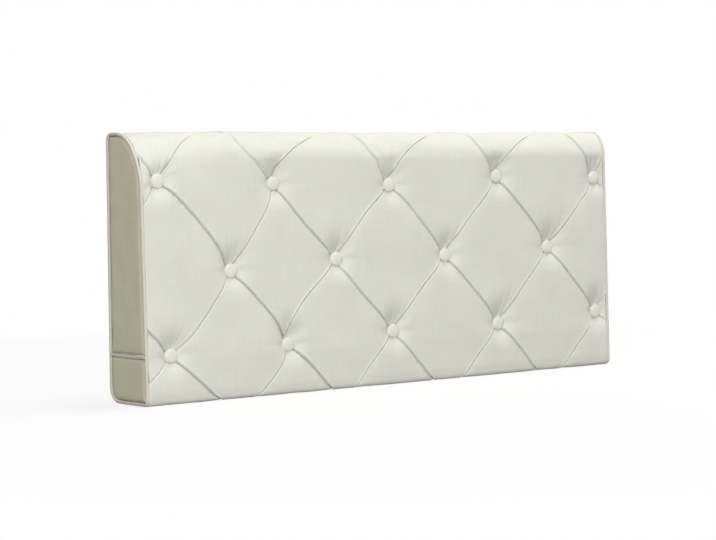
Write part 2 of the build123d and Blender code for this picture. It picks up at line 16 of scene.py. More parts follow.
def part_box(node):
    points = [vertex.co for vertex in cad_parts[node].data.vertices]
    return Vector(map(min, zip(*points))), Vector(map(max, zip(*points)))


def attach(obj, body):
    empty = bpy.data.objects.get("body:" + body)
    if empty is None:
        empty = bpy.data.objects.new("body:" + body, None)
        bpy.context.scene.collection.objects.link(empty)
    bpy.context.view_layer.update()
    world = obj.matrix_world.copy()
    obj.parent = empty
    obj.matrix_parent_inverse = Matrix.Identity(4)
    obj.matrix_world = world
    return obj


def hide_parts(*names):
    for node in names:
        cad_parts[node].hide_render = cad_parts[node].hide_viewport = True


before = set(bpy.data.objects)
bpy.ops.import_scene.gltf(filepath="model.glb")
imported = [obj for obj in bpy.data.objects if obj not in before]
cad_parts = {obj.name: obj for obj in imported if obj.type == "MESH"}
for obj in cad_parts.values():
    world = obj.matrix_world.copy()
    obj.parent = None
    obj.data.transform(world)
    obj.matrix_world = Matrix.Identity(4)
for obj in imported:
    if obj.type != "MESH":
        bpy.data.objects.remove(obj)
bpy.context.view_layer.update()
MM = 0.001

# %% [markdown]
# ## Helpers for meshes
#
# A surface here is a grid of points: rows along one parameter and columns
# along the other. numpy works out the whole grid at once, and `foreach_set`
# copies the flat arrays into Blender, which is far quicker than adding
# vertices one by one. Faces of a grid follow from the row and column numbers.

# %% Mesh helpers
def grid_quads(rows, columns, ring_rows=False, ring_columns=False):
    """Four corner numbers of each cell: (row, column), next row, next column, in turn."""
    row = np.arange(rows if ring_rows else rows - 1)[:, None]
    column = np.arange(columns if ring_columns else columns - 1)[None, :]
    next_row = (row + 1) % rows
    next_column = (column + 1) % columns
    corners = [
        row * columns + column,
        row * columns + next_column,
        next_row * columns + next_column,
        next_row * columns + column,
    ]
    return np.stack([np.broadcast_to(c, (row.size, column.size)) for c in corners], axis=-1)


def make_mesh(name, points, faces, uv=None):
    """Mesh object from points (n, 3) in metres and a list of face arrays (m, 3 or 4)."""
    groups = [np.asarray(f).reshape(-1, np.asarray(f).shape[-1]) for f in faces]
    corners = np.concatenate([g.ravel() for g in groups]).astype(np.int32)
    sizes = np.concatenate([np.full(len(g), g.shape[1]) for g in groups]).astype(np.int32)
    starts = np.concatenate([[0], np.cumsum(sizes)[:-1]]).astype(np.int32)
    mesh = bpy.data.meshes.new(name)
    mesh.vertices.add(len(points))
    mesh.vertices.foreach_set("co", np.asarray(points, np.float32).ravel())
    mesh.loops.add(len(corners))
    mesh.loops.foreach_set("vertex_index", corners)
    mesh.polygons.add(len(sizes))
    mesh.polygons.foreach_set("loop_start", starts)
    mesh.polygons.foreach_set("use_smooth", np.ones(len(sizes), bool))
    if uv is not None:
        layer = mesh.uv_layers.new(name="cloth")
        layer.data.foreach_set("uv", np.asarray(uv, np.float32)[corners].ravel())
    mesh.update(calc_edges=True)
    mesh.validate()
    piece = bpy.data.objects.new(name, mesh)
    bpy.context.scene.collection.objects.link(piece)
    return piece


def fan(centre, rim, turned=False):
    """Triangles from a centre point to each side of a closed rim, all as point numbers."""
    centres, following = np.full(len(rim), centre), np.roll(rim, -1)
    return np.stack([centres, following, rim] if turned else [centres, rim, following], axis=1)


def thicken(piece, thickness):
    """Gives cloth its thickness in mm, laid off on the inside."""
    wall = piece.modifiers.new("cloth thickness", "SOLIDIFY")
    wall.thickness = thickness * MM
    wall.offset = -1.0


def finish_piece(piece, material, nodes):
    """Gives a piece its material and body, and hides the CAD nodes that it stands for."""
    piece.data.materials.append(material)
    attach(piece, "root")
    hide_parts(*nodes)
    print(piece.name, "faces:", len(piece.data.polygons))


def waves(rng, a, b, size, shortest, longest, count):
    """Sum of sine waves over a plane (a, b): each has a drawn direction, phase and length."""
    total = np.zeros_like(a + b)
    low, high = (0, 0, shortest), (math.tau, math.tau, longest)
    for turn, phase, length in rng.uniform(low, high, (count, 3)):
        total += size * np.sin(math.tau / length * (a * math.cos(turn) + b * math.sin(turn)) + phase)
    return total


# %% [markdown]
# ## Helpers for materials
#
# A material is a small network of nodes. One function adds a node, sets its
# inputs and returns it; a value that is another node, or one of its outputs,
# becomes a link. Colours are written as sRGB hex, as a screen shows them, and
# turned to the linear numbers that the shader works in.

# %% Material helpers
def colour(hex_text):
    """Linear RGBA of an sRGB hex colour: the standard curve, undone channel by channel."""
    srgb = np.array([int(hex_text[i:i + 2], 16) for i in (1, 3, 5)]) / 255
    linear = np.where(srgb <= 0.04045, srgb / 12.92, ((srgb + 0.055) / 1.055) ** 2.4)
    return (*linear.tolist(), 1.0)


def add_node(tree, kind, inputs=None, **settings):
    """Adds a shader node, sets its properties, and fills its inputs with values or links.

    A node given as a value stands for its first output.
    """
    node = tree.nodes.new("ShaderNode" + kind)
    for name, value in settings.items():
        setattr(node, name, value)
    for name, value in (inputs or {}).items():
        if isinstance(value, bpy.types.Node):
            value = value.outputs[0]
        if isinstance(value, bpy.types.NodeSocket):
            tree.links.new(value, node.inputs[name])
        else:
            node.inputs[name].default_value = value
    return node


def new_material(name, coordinates="Object"):
    """Empty material, as (material, node tree, coordinates for its patterns)."""
    material = bpy.data.materials.new(name)
    material.use_nodes = True
    tree = material.node_tree
    tree.nodes.clear()
    return material, tree, add_node(tree, "TexCoord").outputs[coordinates]


def end_material(tree, share, colours, height, relief, finish):
    """Ends a material: a tint between two colours, a relief, and the shader with its finish.

    share and height come from the pattern, and relief is (strength, depth in metres).
    """
    low, high = (colour(hex_text) for hex_text in colours)
    tint = add_node(tree, "Mix", {"Factor": share, "A": low, "B": high}, data_type="RGBA")
    bump = add_node(tree, "Bump", {"Height": height, "Strength": relief[0], "Distance": relief[1]})
    shader = add_node(
        tree, "BsdfPrincipled", {"Base Color": tint.outputs["Result"], "Normal": bump, **finish},
    )
    add_node(tree, "OutputMaterial", {"Surface": shader})


# %% [markdown]
# ## The linen
#
# The cover is a plain-woven linen and cotton cloth, cream coloured. Its yarns
# are about 0.8 mm apart and uneven: a thick stretch of yarn, a slub, shows as
# a fine streak. The weave is two sets of ridges at right angles, made with
# sines on the cloth's own UV map, which is laid out in metres, so the yarns
# keep their size and run along the cloth wherever it bends. A touch of sheen
# stands for the loose fibres that catch light at a grazing angle.

# %% Linen material
YARN = 0.8 * MM
SLUB_LENGTH = 40.0  # A slub is this many times longer than it is wide.


def linen(name, light, dark, coordinates="UV", yarn=YARN, bump=0.35):
    """Woven linen: yarn ridges both ways, slub streaks and a slow change of shade."""
    material, tree, place = new_material(name, coordinates)
    axes = add_node(tree, "SeparateXYZ", {"Vector": place})
    ridges, slubs = [], []
    for axis, stretch in (("X", (1 / SLUB_LENGTH, 1.0, 1.0)), ("Y", (1.0, 1 / SLUB_LENGTH, 1.0))):
        turn = add_node(
            tree, "Math", {0: axes.outputs[axis], 1: math.tau / (2 * yarn)}, operation="MULTIPLY",
        )
        ridges.append(add_node(tree, "Math", {0: turn}, operation="SINE"))
        along = add_node(tree, "Mapping", {"Vector": place, "Scale": stretch})
        slubs.append(add_node(
            tree, "TexNoise",
            {"Vector": along, "Scale": 1 / (2 * yarn), "Detail": 2.0, "Roughness": 0.6},
        ))
    weave = add_node(tree, "Math", {0: ridges[0], 1: ridges[1]}, operation="MULTIPLY")
    slub = add_node(tree, "Math", {0: slubs[0], 1: slubs[1]}, operation="ADD")
    patch = add_node(tree, "TexNoise", {"Vector": place, "Scale": 9.0, "Detail": 3.0})
    shade = add_node(
        tree, "MapRange",
        {"Value": slub, "From Min": 0.7, "From Max": 1.3, "To Min": 0.32, "To Max": 0.68},
    )
    blended = add_node(tree, "Math", {0: patch, 1: 0.5, 2: shade}, operation="MULTIPLY_ADD")
    level = add_node(tree, "MapRange", {"Value": blended, "From Min": 0.45, "From Max": 1.05})
    height = add_node(tree, "Math", {0: slub, 1: 0.6, 2: weave}, operation="MULTIPLY_ADD")
    end_material(tree, level, (dark, light), height, (bump, 0.1 * MM), {
        "Roughness": 0.92,
        "IOR": 1.5,
        "Specular IOR Level": 0.25,
        "Sheen Weight": 0.12,
        "Sheen Roughness": 0.45,
    })
    return material


linen_front = linen("plain-woven linen and cotton cloth, quilted", "#DEDED5", "#D2D2C8")
# The end panels are the same cloth as the cover, coloured warmer and darker for the shade on the
# ends: painted shade.
linen_sides_painted_shade = linen("plain-woven linen and cotton cloth, flat", "#DAD4BC", "#CEC8B0")
# The piping is the same linen as the cover, coloured a little darker and greyer for the shade on its
# sides: painted shade.
linen_piping_painted_shade = linen("bias-cut linen piping, painted shade", "#D9D6C9", "#CDCABD")
linen_button = linen("linen over button moulds", "#E3E3DA", "#D8D8CE", yarn=0.7 * MM)
print("linen materials:", 4)

# %% [markdown]
# ## The side outline
#
# Seen from the end, the slab has a flat back, a front that leans back a
# little, a wide roll at the top and small rounds at its feet. The outline is
# made of straight runs and arcs that touch each other smoothly. Walking round
# it gives three tables against the distance walked: height, depth and the
# outward direction. Every surface below reads its shape from those tables.
# Away from the left end the two top radii shrink, because the pad is stuffed
# fuller there, and most of all at the right corner. An arc's points move in
# straight lines as its radius shrinks, so the outline between is a plain blend
# of the two.

# %% Side outline
LENGTH, HEIGHT, DEPTH = 1200.0, 500.0, 124.0
CLOTH = 1.5
LEAN = math.radians(1.5)
SHOULDER_TURN = math.radians(40.0)
EVEN_RADII, FULL_RADII = (135.0, 70.0), (66.0, 24.0)
FULL_START, FULL_RUN = 400.0, 200.0
PLUMP_RUN, PLUMP_SHARE = 220.0, 0.88
BACK_CREST, BACK_FOOT, FRONT_FOOT = 16.0, 30.0, 12.0
EASE = 1.5  # No round is drawn in to less than this.


def arc(centre, radius, start, end, count):
    """Points and outward directions on an arc, angles in degrees."""
    angle = np.radians(np.linspace(start, end, count))
    outward = np.stack([np.cos(angle), np.sin(angle)], axis=1)
    return np.array(centre) + radius * outward, outward


def straight(start, end, outward, count):
    """Points on a straight run, which all share one outward direction."""
    share = np.linspace(0, 1, count)[:, None]
    return np.array(start) * (1 - share) + np.array(end) * share, np.tile(outward, (count, 1))


def front_centre(inset, radius, height):
    """Depth of the centre of an arc that touches the leaning front, drawn in by inset."""
    return -DEPTH / 2 + (inset + radius) / math.cos(LEAN) + math.tan(LEAN) * (height - FRONT_FOOT)


def outline_runs(inset, back, bottom, radii):
    """The nine runs of the outline, from under the front foot round to where it began."""
    shoulder, crest = (radius - inset for radius in radii)
    spread = shoulder - crest
    top = HEIGHT - inset
    crest_z = top - crest
    shoulder_z = crest_z - spread * math.sin(SHOULDER_TURN)
    shoulder_y = front_centre(inset, shoulder, shoulder_z)
    crest_y = shoulder_y - spread * math.cos(SHOULDER_TURN)
    rear = DEPTH / 2 - back
    drawn_in = (BACK_CREST - back, BACK_FOOT - back, FRONT_FOOT - inset)
    back_crest, back_foot, foot = (max(radius, EASE) for radius in drawn_in)
    foot_z = bottom + foot
    foot_y = front_centre(inset, foot, foot_z)
    lean = math.degrees(LEAN)
    front_out = np.array([-math.cos(LEAN), math.sin(LEAN)])
    low = (foot_y, foot_z) + foot * front_out
    high = (shoulder_y, shoulder_z) + shoulder * front_out
    return [
        arc((foot_y, foot_z), foot, 270, 180 - lean, 18),
        straight(low, high, front_out, 60),
        arc((shoulder_y, shoulder_z), shoulder, 180 - lean, 140, 70),
        arc((crest_y, crest_z), crest, 140, 90, 60),
        straight((crest_y, top), (rear - back_crest, top), (0.0, 1.0), 12),
        arc((rear - back_crest, top - back_crest), back_crest, 90, 0, 20),
        straight((rear, top - back_crest), (rear, bottom + back_foot), (1.0, 0.0), 80),
        arc((rear - back_foot, bottom + back_foot), back_foot, 0, -90, 36),
        straight((rear - back_foot, bottom), (foot_y, bottom), (0.0, -1.0), 20),
    ]


class Outline:
    """Closed side outline drawn in by inset: place and outward direction against distance.

    The distance starts under the front foot and runs up the front, over the crest, down the
    back and under the slab to where it began. `fuller` is how far each point moves where the
    section is full; elsewhere it moves by a share of that.
    """

    def __init__(self, inset, back, bottom):
        even, full = (outline_runs(inset, back, bottom, radii) for radii in (EVEN_RADII, FULL_RADII))
        self.points = np.concatenate([r[0] for r in even])
        self.outward = np.concatenate([r[1] for r in even])
        self.fuller = np.concatenate([r[0] for r in full]) - self.points
        steps = np.linalg.norm(np.diff(self.points, axis=0), axis=1)
        self.distance = np.concatenate([[0], np.cumsum(steps)])
        self.length = float(self.distance[-1])
        ends = np.cumsum([len(r[0]) for r in even]) - 1
        names = "foot front shoulder crest top back_crest back back_foot bottom".split()
        self.end_of = {name: float(self.distance[e]) for name, e in zip(names, ends)}

    def ring(self, x):
        """All the points of the outline at one place along the pad."""
        return self.points + fullness(x) * self.fuller

    def at(self, distance, x=0.0):
        """Depth, height and outward direction at a distance and a place x, as arrays."""
        walked = np.mod(distance, self.length)
        columns = np.concatenate([self.points, self.fuller, self.outward], axis=1).T
        y, z, more_y, more_z, out_y, out_z = (np.interp(walked, self.distance, c) for c in columns)
        size = np.hypot(out_y, out_z)
        return y + fullness(x) * more_y, z + fullness(x) * more_z, out_y / size, out_z / size

    def at_height(self, heights, places):
        """Distances on the front or the shoulder where the outline at each x reaches a height."""
        rising = self.distance <= self.end_of["crest"]
        climbs = [self.ring(x)[rising, 1] for x in places]
        return np.array([np.interp(z, c, self.distance[rising]) for z, c in zip(heights, climbs)])


def fullness(x):
    """How far the section has become full at x: nought at the left end, one at the right."""
    corner = np.clip((x - FULL_START) / FULL_RUN, 0, 1)
    share = np.clip((x + LENGTH / 2) / PLUMP_RUN, 0, 1)
    return np.maximum(corner, PLUMP_SHARE * share * (2 - share))


DUST_CLOTH = 1.0
cover_outline = Outline(CLOTH, DUST_CLOTH, 0.0)
walked = cover_outline.end_of
print("cover outline:", round(cover_outline.length, 1), "mm round")
print({name: round(distance) for name, distance in walked.items()})

# %% [markdown]
# ## Where the buttons and pleats lie
#
# Diamond tufting starts from a lattice. Rows of buttons are offset by half a
# space, and a pleat runs from each button to its neighbours in the next row.
# The cloth is described by two lengths: `x` along the pad and `s` up the
# outline. The mesh is laid on the lattice too, so that each pleat runs exactly
# along the diagonal of one block of cells. Then a crease is a clean line of
# mesh edges, where a plain grid would give it saw teeth.

# %% Lattice of buttons
TOP_X = np.array([-0.463, -0.2425, -0.002, 0.240, 0.476]) * LENGTH
TOP_Z = np.array([0.820, 0.804, 0.790, 0.817, 0.803]) * HEIGHT
MIDDLE_X = np.array([-0.330, -0.119, 0.117, 0.357]) * LENGTH
MIDDLE_Z = np.array([0.480, 0.506, 0.502, 0.516]) * HEIGHT
BOTTOM_X = np.array([-0.448, -0.222, -0.002, 0.235, 0.473]) * LENGTH
BOTTOM_Z = np.array([0.179, 0.1905, 0.210, 0.211, 0.2315]) * HEIGHT
PIPING_RADIUS = 3.25
COVER_END = LENGTH / 2 - 2 * PIPING_RADIUS
TAB, TAB_FOOT = 34.0, 17.0
UNDER_FOOT = -45.0
BACK_EDGE = walked["top"]


def between(values):
    """Middles of neighbouring values."""
    return (values[1:] + values[:-1]) / 2


lattice_x = np.zeros((5, 11))
lattice_s = np.zeros((5, 11))
lattice_x[:, 0], lattice_x[:, 10] = -COVER_END, COVER_END
for row, (x, z) in ((1, (BOTTOM_X, BOTTOM_Z)), (3, (TOP_X, TOP_Z))):
    lattice_x[row, 1:10:2], lattice_x[row, 2:9:2] = x, between(x)
    s = cover_outline.at_height(z, x)
    lattice_s[row, 1:10:2], lattice_s[row, 2:9:2] = s, between(s)
lattice_x[2, 2:9:2], lattice_x[2, 3:8:2] = MIDDLE_X, between(MIDDLE_X)
lattice_x[2, 1], lattice_x[2, 9] = (TOP_X[0] + BOTTOM_X[0]) / 2, (TOP_X[4] + BOTTOM_X[4]) / 2
s = cover_outline.at_height(MIDDLE_Z, MIDDLE_X)
lattice_s[2, 2:9:2], lattice_s[2, 3:8:2] = s, between(s)
lattice_s[2, 1], lattice_s[2, 9] = s[0], s[-1]
lattice_x[0, 2:9:2] = (-385.0, -137.0, 140.0, 420.0)
lattice_x[4, 2:9:2] = (-395.0, -100.0, 190.0, 470.0)
for row in (0, 4):
    lattice_x[row, 3:8:2] = between(lattice_x[row, 2:9:2])
    lattice_x[row, 1], lattice_x[row, 9] = TAB - COVER_END, COVER_END - TAB
lattice_s[:, 0], lattice_s[:, 10] = lattice_s[:, 1], lattice_s[:, 9]
lattice_s[0], lattice_s[4] = UNDER_FOOT, BACK_EDGE

button_x = np.concatenate([TOP_X, MIDDLE_X, BOTTOM_X])
button_z = np.concatenate([TOP_Z, MIDDLE_Z, BOTTOM_Z])
button_s = cover_outline.at_height(button_z, button_x)
print("buttons:", len(button_x), "rows at s =", np.round(lattice_s[1:4].mean(axis=1)))

# %% [markdown]
# A real pleat isn't straight: the cloth is pulled into a curve, and the
# pleats of one diamond come together steeply above its lower button. Each
# block of the lattice keeps two numbers, how far its pleat strays sideways at
# one third and at two thirds of its length, and a cubic runs through them.
# A third number says how deep the pleat is drawn.

# %% Bows and strengths of the pleats
# Rows from the foot to the crest, blocks from the left to the right, in mm.
BOW_LOW = np.array([
    [11, -6, 20, -15, 7, -12, 14, -12],
    [10, 9, -31, -6, -11, 0, -6, -2],
    [5, 2, -10, -14, 0, -10, 3, -2],
    [-15, -32, -29, -19, -25, -14, -22, -6],
], float)
BOW_HIGH = np.array([
    [4, 6, 16, -16, 3, -12, 10, -6],
    [6, 5, -24, -10, -10, -2, -6, -2],
    [3, 6, -10, -16, 2, -6, -1, -2],
    [-18, -16, -22, -9, -22, 0, -18, 4],
], float)
STRENGTH = np.array([
    [1.00, 0.60, 1.00, 0.95, 0.85, 1.00, 0.85, 0.90],
    [0.60, 1.10, 1.05, 0.85, 1.05, 0.90, 1.00, 0.90],
    [1.20, 0.60, 0.90, 1.10, 0.85, 1.05, 0.95, 1.00],
    [0.80, 1.20, 1.05, 1.20, 1.05, 1.30, 1.00, 1.40],
])
# Pleats to the ends: button number, reach to (x, s), strength.
END_PLEATS = (
    (0, -597, 478, 1.10), (0, -597, 366, 0.40), (4, 597, 397, 0.60), (4, 597, 336, 0.60),
    (9, -597, 149, 1.05), (9, -597, 44, 0.45), (13, 597, 143, 0.60), (13, 597, 88, 0.60),
)


def bow(share, low, high):
    """Cubic through nought at both ends, low at one third and high at two thirds."""
    first = 13.5 * share * (share - 2 / 3) * (share - 1)
    second = -13.5 * share * (share - 1 / 3) * (share - 1)
    return low * first + high * second


def block_pleat(row, block, steps=33):
    """Points (x, s) along the pleat of a block, from its lower button, and its strength."""
    column = block + 1
    rising_right = (column + row) % 2 == 0
    start, end = (column, column + 1) if rising_right else (column + 1, column)
    share = np.linspace(0, 1, steps)
    x = lattice_x[row, start] + (lattice_x[row + 1, end] - lattice_x[row, start]) * share
    s = lattice_s[row, start] + (lattice_s[row + 1, end] - lattice_s[row, start]) * share
    x = x + bow(share, BOW_LOW[row, block], BOW_HIGH[row, block])
    return np.stack([x, s], axis=1), STRENGTH[row, block]


pleats = [block_pleat(row, block) for row in range(4) for block in range(8)]
for number, x, s, strength in END_PLEATS:
    share = np.linspace(0, 1, 9)[:, None]
    start = np.array([button_x[number], button_s[number]])
    pleats.append((start + (np.array([x, s]) - start) * share, strength))
CHANGING_PLEATS = range(24, 32, 2)  # Over the crest every other pleat changes sides on its way up.
print("pleats:", len(pleats))

# %% [markdown]
# ## The grid of the cover
#
# The cover is one closed band round the slab. Sixty cells fill each block
# of the lattice both ways; the back and the underside need only a few rows.
# Inside a block the corners are blended straight across. Then each row is
# pushed so that its point on the diagonal lands on the pleat. The push is a
# tent: full on the diagonal and nought on the block's edges, so the blocks
# still meet, and no cell can turn over, however strong the bow.

# %% Grid of the cover
CELLS = 60
END_CELLS = 18


def lattice_positions(counts):
    """Whole block number plus share, with the given number of cells in each block."""
    parts = [block + np.arange(n) / n for block, n in enumerate(counts)]
    return np.concatenate(parts + [[float(len(counts))]])


across = lattice_positions([END_CELLS] + [CELLS] * 8 + [END_CELLS])
up = lattice_positions([CELLS] * 4)
row_block = np.minimum(up.astype(int), 3)[:, None]
column_block = np.minimum(across.astype(int), 9)[None, :]
v = up[:, None] - row_block
u = across[None, :] - column_block


def block_corners(table):
    """Lattice values at the low left, low right, high left and high right of each cell's block."""
    return [table[row_block + i, column_block + j] for i in (0, 1) for j in (0, 1)]


def blend_corners(table):
    """Each cell's value, blended from its block's corners by the shares u and v."""
    low_left, low_right, high_left, high_right = block_corners(table)
    return (low_left * (1 - u) + low_right * u) * (1 - v) + (high_left * (1 - u) + high_right * u) * v


def twist(table):
    """How far the straight line between a pleat's two corners lies from the blend's diagonal."""
    low_left, low_right, high_left, high_right = block_corners(table)
    twisted = low_left + high_right - low_right - high_left
    return v * (1 - v) * np.where(rising_right, 1, -1) * twisted


rising_right = (row_block + column_block) % 2 == 0
toward = np.where(rising_right, u, 1 - u)
tent = np.where(toward <= v, toward / np.maximum(v, 1e-9), (1 - toward) / np.maximum(1 - v, 1e-9))
tent = tent * ((column_block >= 1) & (column_block <= 8))
inner_block = np.clip(column_block - 1, 0, 7)
bowed = bow(v, BOW_LOW[row_block, inner_block], BOW_HIGH[row_block, inner_block])
front_x = blend_corners(lattice_x) + tent * (bowed + twist(lattice_x))
front_s = blend_corners(lattice_s) + tent * twist(lattice_s)

# Rows round the back: crest round, tab, open window, tab, foot round and underside.
TAB_TOP = walked["back_crest"] + TAB
TAB_LOW = walked["back"] - TAB_FOOT
back_runs = (
    (BACK_EDGE, walked["back_crest"], 8),
    (walked["back_crest"], TAB_TOP, 4),
    (TAB_TOP, TAB_LOW, 12),
    (TAB_LOW, walked["back"], 3),
    (walked["back"], walked["back_foot"], 10),
    (walked["back_foot"], cover_outline.length + UNDER_FOOT, 5),
)
back_s = np.concatenate([np.linspace(a, b, n, endpoint=False) for a, b, n in back_runs])[1:]
back_share = np.linspace(0, 1, len(back_s) + 2)[1:-1, None]
back_x = front_x[-1] * (1 - back_share) + front_x[0] * back_share
grid_x = np.concatenate([front_x, back_x])
grid_s = np.concatenate([front_s, np.broadcast_to(back_s[:, None], back_x.shape)])
print("cover grid:", grid_x.shape, "points")

# %% [markdown]
# ## Heights of the cover
#
# Three things shape the cloth. Along each pleat the cloth of the upper diamond
# laps over the lower one: a rounded lip, a narrow slot, a step down, and a
# slow return to the lower diamond. The slot draws the fine dark line of a
# pleat, and the lip the bright line beside it. Round each button the cloth
# sinks in a funnel, with gathers fanning out of it. A slow random swell keeps
# the faces from looking machined.

# %% Distance to a pleat
def near_pleat(path, x, s):
    """Signed distance to a path, the unit direction away from it, the share along it, its length.

    For each straight bit of the path the foot of the perpendicular is found and held to the
    bit's ends; the nearest bit wins. The distance is positive on the upper side.
    """
    starts, steps = path[:-1], np.diff(path, axis=0)
    dx = x[:, None] - starts[:, 0]
    ds = s[:, None] - starts[:, 1]
    square = (steps ** 2).sum(axis=1)
    share = np.clip((dx * steps[:, 0] + ds * steps[:, 1]) / square, 0, 1)
    off_x = dx - share * steps[:, 0]
    off_s = ds - share * steps[:, 1]
    distance = np.hypot(off_x, off_s)
    best = distance.argmin(axis=1)
    pick = (np.arange(len(x)), best)
    along = steps[best]
    normal = np.stack([-along[:, 1], along[:, 0]], axis=1) / np.sqrt(square[best])[:, None]
    normal *= np.sign(normal[:, 1] + 1e-12)[:, None]
    side = np.sign(off_x[pick] * normal[:, 0] + off_s[pick] * normal[:, 1])
    lengths = np.concatenate([[0], np.cumsum(np.sqrt(square))])
    run = (lengths[best] + share[pick] * np.sqrt(square[best])) / lengths[-1]
    return distance[pick] * np.where(side == 0, 1, side), normal, run, lengths[-1]


# %% Pleats
LIP, LIP_AT, LIP_WIDTH = 2.1, 2.6, 1.6
SLOT, SLOT_WIDTH = 9.0, 1.45
STEP, STEP_WIDTH, RETURN = 2.2, 0.7, 6.0
BROAD, BROAD_WIDTH = 0.9, 14.0
PLEAT_REACH, PLEAT_END = 45.0, 35.0
GATHER, GATHER_WIDTH = 0.62, 8.0
OVERLAP, OVERLAP_WIDTH = 1.2, 2.6


def pleat_profile(distance, over):
    """Height across a pleat. over is 1 where the upper side laps, -1 where the lower side does.

    Both sides have a small rounded lip, larger on the lapping side. Between them is a narrow
    slot, and beyond it the lapped side lies lower and comes back slowly.
    """
    lapping = np.sign(distance) * over
    lip = LIP * (0.62 + 0.38 * lapping) * np.exp(-((np.abs(distance) - LIP_AT) / LIP_WIDTH) ** 2)
    slot = SLOT * np.exp(-(distance / SLOT_WIDTH) ** 2)
    step = STEP * (0.5 - 0.5 * np.tanh(distance / STEP_WIDTH) * over)
    step = step * np.exp(-np.abs(distance) / RETURN)
    return lip - slot - step - BROAD * np.exp(-np.abs(distance) / BROAD_WIDTH)


x, s = grid_x.ravel(), grid_s.ravel()
height = np.zeros_like(x)
move_x, move_s = np.zeros_like(x), np.zeros_like(x)
front_share = np.clip((s - UNDER_FOOT) / 40, 0, 1) * (s < BACK_EDGE + 40)
for number, (path, strength) in enumerate(pleats):
    low, high = path.min(axis=0) - PLEAT_REACH, path.max(axis=0) + PLEAT_REACH
    near = np.flatnonzero((x > low[0]) & (x < high[0]) & (s > low[1]) & (s < high[1]))
    distance, normal, run, length = near_pleat(path, x[near], s[near])
    ends = np.minimum(run, 1 - run) * length
    over = np.ones_like(run)
    if number in CHANGING_PLEATS:
        rise = np.where(path[0, 1] < path[-1, 1], run, 1 - run)
        over = 1 - 2 * np.clip((rise - 0.18) / 0.2, 0, 1)
    drawn = strength * (0.72 + 0.28 * np.exp(-ends / PLEAT_END))
    drawn *= np.clip(1.15 - np.abs(distance) / PLEAT_REACH, 0, 1)
    gathered = distance * (1 - GATHER * np.exp(-(distance / GATHER_WIDTH) ** 2))
    lap = np.exp(-((np.abs(distance) - OVERLAP_WIDTH) / OVERLAP_WIDTH) ** 2) * (distance * over > 0)
    fade = np.clip(ends / 12, 0, 1)
    shift = (gathered - strength * OVERLAP * over * lap - distance) * fade
    move_x[near] += shift * normal[:, 0]
    move_s[near] += shift * normal[:, 1]
    height[near] += drawn * pleat_profile(distance + (gathered - distance) * fade, over)
print("deepest pleat:", round(float(height.min()), 1), "mm")

# %% [markdown]
# ### Funnels and gathers
#
# The funnel of a button is steep at its rim and runs out along the pleats
# above and below; to the sides it is short, and a shallow dent joins the
# buttons of a row. Five long gathers fan out above each button and three
# short ones below. They are strongest in the top row, on the shoulder.

# %% Funnels and gathers
FUNNEL, FUNNEL_REACH, SIDE_FUNNEL, SIDE_REACH = 18.0, 66.0, 13.0, 11.0
LOW_FUNNEL, LOW_REACH = 11.0, 40.0
DENT, DENT_HEIGHT, DENT_LENGTH = 3.0, 9.0, 22.0
BUTTON_RADIUS, BUTTON_EDGE, BUTTON_REACH = 14.0, 13.0, 150.0

rng = np.random.default_rng(7)
to_end = COVER_END - np.abs(x)
end_room = np.maximum(np.clip(to_end / 30, 0, 1), 0.4)
for number, (bx, bs) in enumerate(zip(button_x, button_s)):
    dx, ds = x - bx, s - bs
    radius = np.hypot(dx, ds)
    near = radius < BUTTON_REACH
    dx, ds, radius = dx[near], ds[near], radius[near]
    out = np.maximum(radius - BUTTON_EDGE, 0)
    upright = np.clip((np.abs(ds) / np.maximum(radius, 1) - 0.3) / 0.5, 0, 1)
    upright = upright ** 2 * (3 - 2 * upright) * end_room[near]
    above = FUNNEL * np.clip(1 - out / FUNNEL_REACH, 0, 1) ** 3
    below = LOW_FUNNEL * np.clip(1 - out / LOW_REACH, 0, 1) ** 2.4
    height[near] -= upright * np.where(ds > 0, above, below)
    height[near] -= SIDE_FUNNEL * (1 - upright) * np.exp(-out / SIDE_REACH)
    aside = np.maximum(np.abs(dx) - BUTTON_RADIUS, 0)
    dent = np.exp(-np.abs(ds) / DENT_HEIGHT - aside / DENT_LENGTH)
    height[near] -= DENT * dent * (1 - np.exp(-out / 6))
    ways = np.concatenate([np.linspace(62, 118, 5) + rng.uniform(-5, 5, 5), rng.uniform(245, 295, 3)])
    size = np.concatenate([rng.uniform(1.2, 2.3, 5), rng.uniform(0.2, 0.4, 3)])
    length = np.concatenate([rng.uniform(22, 44, 5), rng.uniform(8, 14, 3)])
    if number < len(TOP_X):
        size[:5], length[:5] = 1.5 * size[:5], 1.7 * length[:5]
    for angle, deep, run in zip(np.radians(ways), size, length):
        along = dx * math.cos(angle) + ds * math.sin(angle)
        aside = dx * math.sin(angle) - ds * math.cos(angle)
        crease = np.exp(-(aside / (1.4 + 0.06 * out)) ** 2)
        crease -= 0.4 * np.exp(-(aside / (3.5 + 0.1 * out)) ** 2)
        height[near] -= deep * crease * np.exp(-(out / run) ** 1.5) * (along > 0)
print("deepest funnel:", round(float(height.min()), 1), "mm")

# %% Swell and seams
PLUMP = 3.0
for wavelength, size, count in ((160, 0.45, 10), (70, 0.20, 14), (26, 0.05, 18)):
    size = 1.4 * size / math.sqrt(count)
    height += waves(rng, x, s, size, 0.7 * wavelength, 1.4 * wavelength, count)
# Fuller at the left of the shoulder and over the middle, and drawn in at the foot and the ends.
height += 2.5 * np.exp(-((x + 400) / 130) ** 2 - ((s - 560) / 60) ** 2)
plump = np.clip(to_end / 60, 0, 1) * np.clip((520 - s) / 80, 0, 1) * np.clip((s - 20) / 60, 0, 1)
height += PLUMP * plump
height -= 1.5 * np.exp(-((s - 14) / 8) ** 2)
height *= np.clip(to_end / 6, 0.25, 1)
height -= 0.4 * np.exp(-np.maximum(to_end, 0) / 4)
height = np.where(s < 12, np.minimum(height, 0), height) * front_share
print("heights from", round(float(height.min()), 1), "to", round(float(height.max()), 1), "mm")

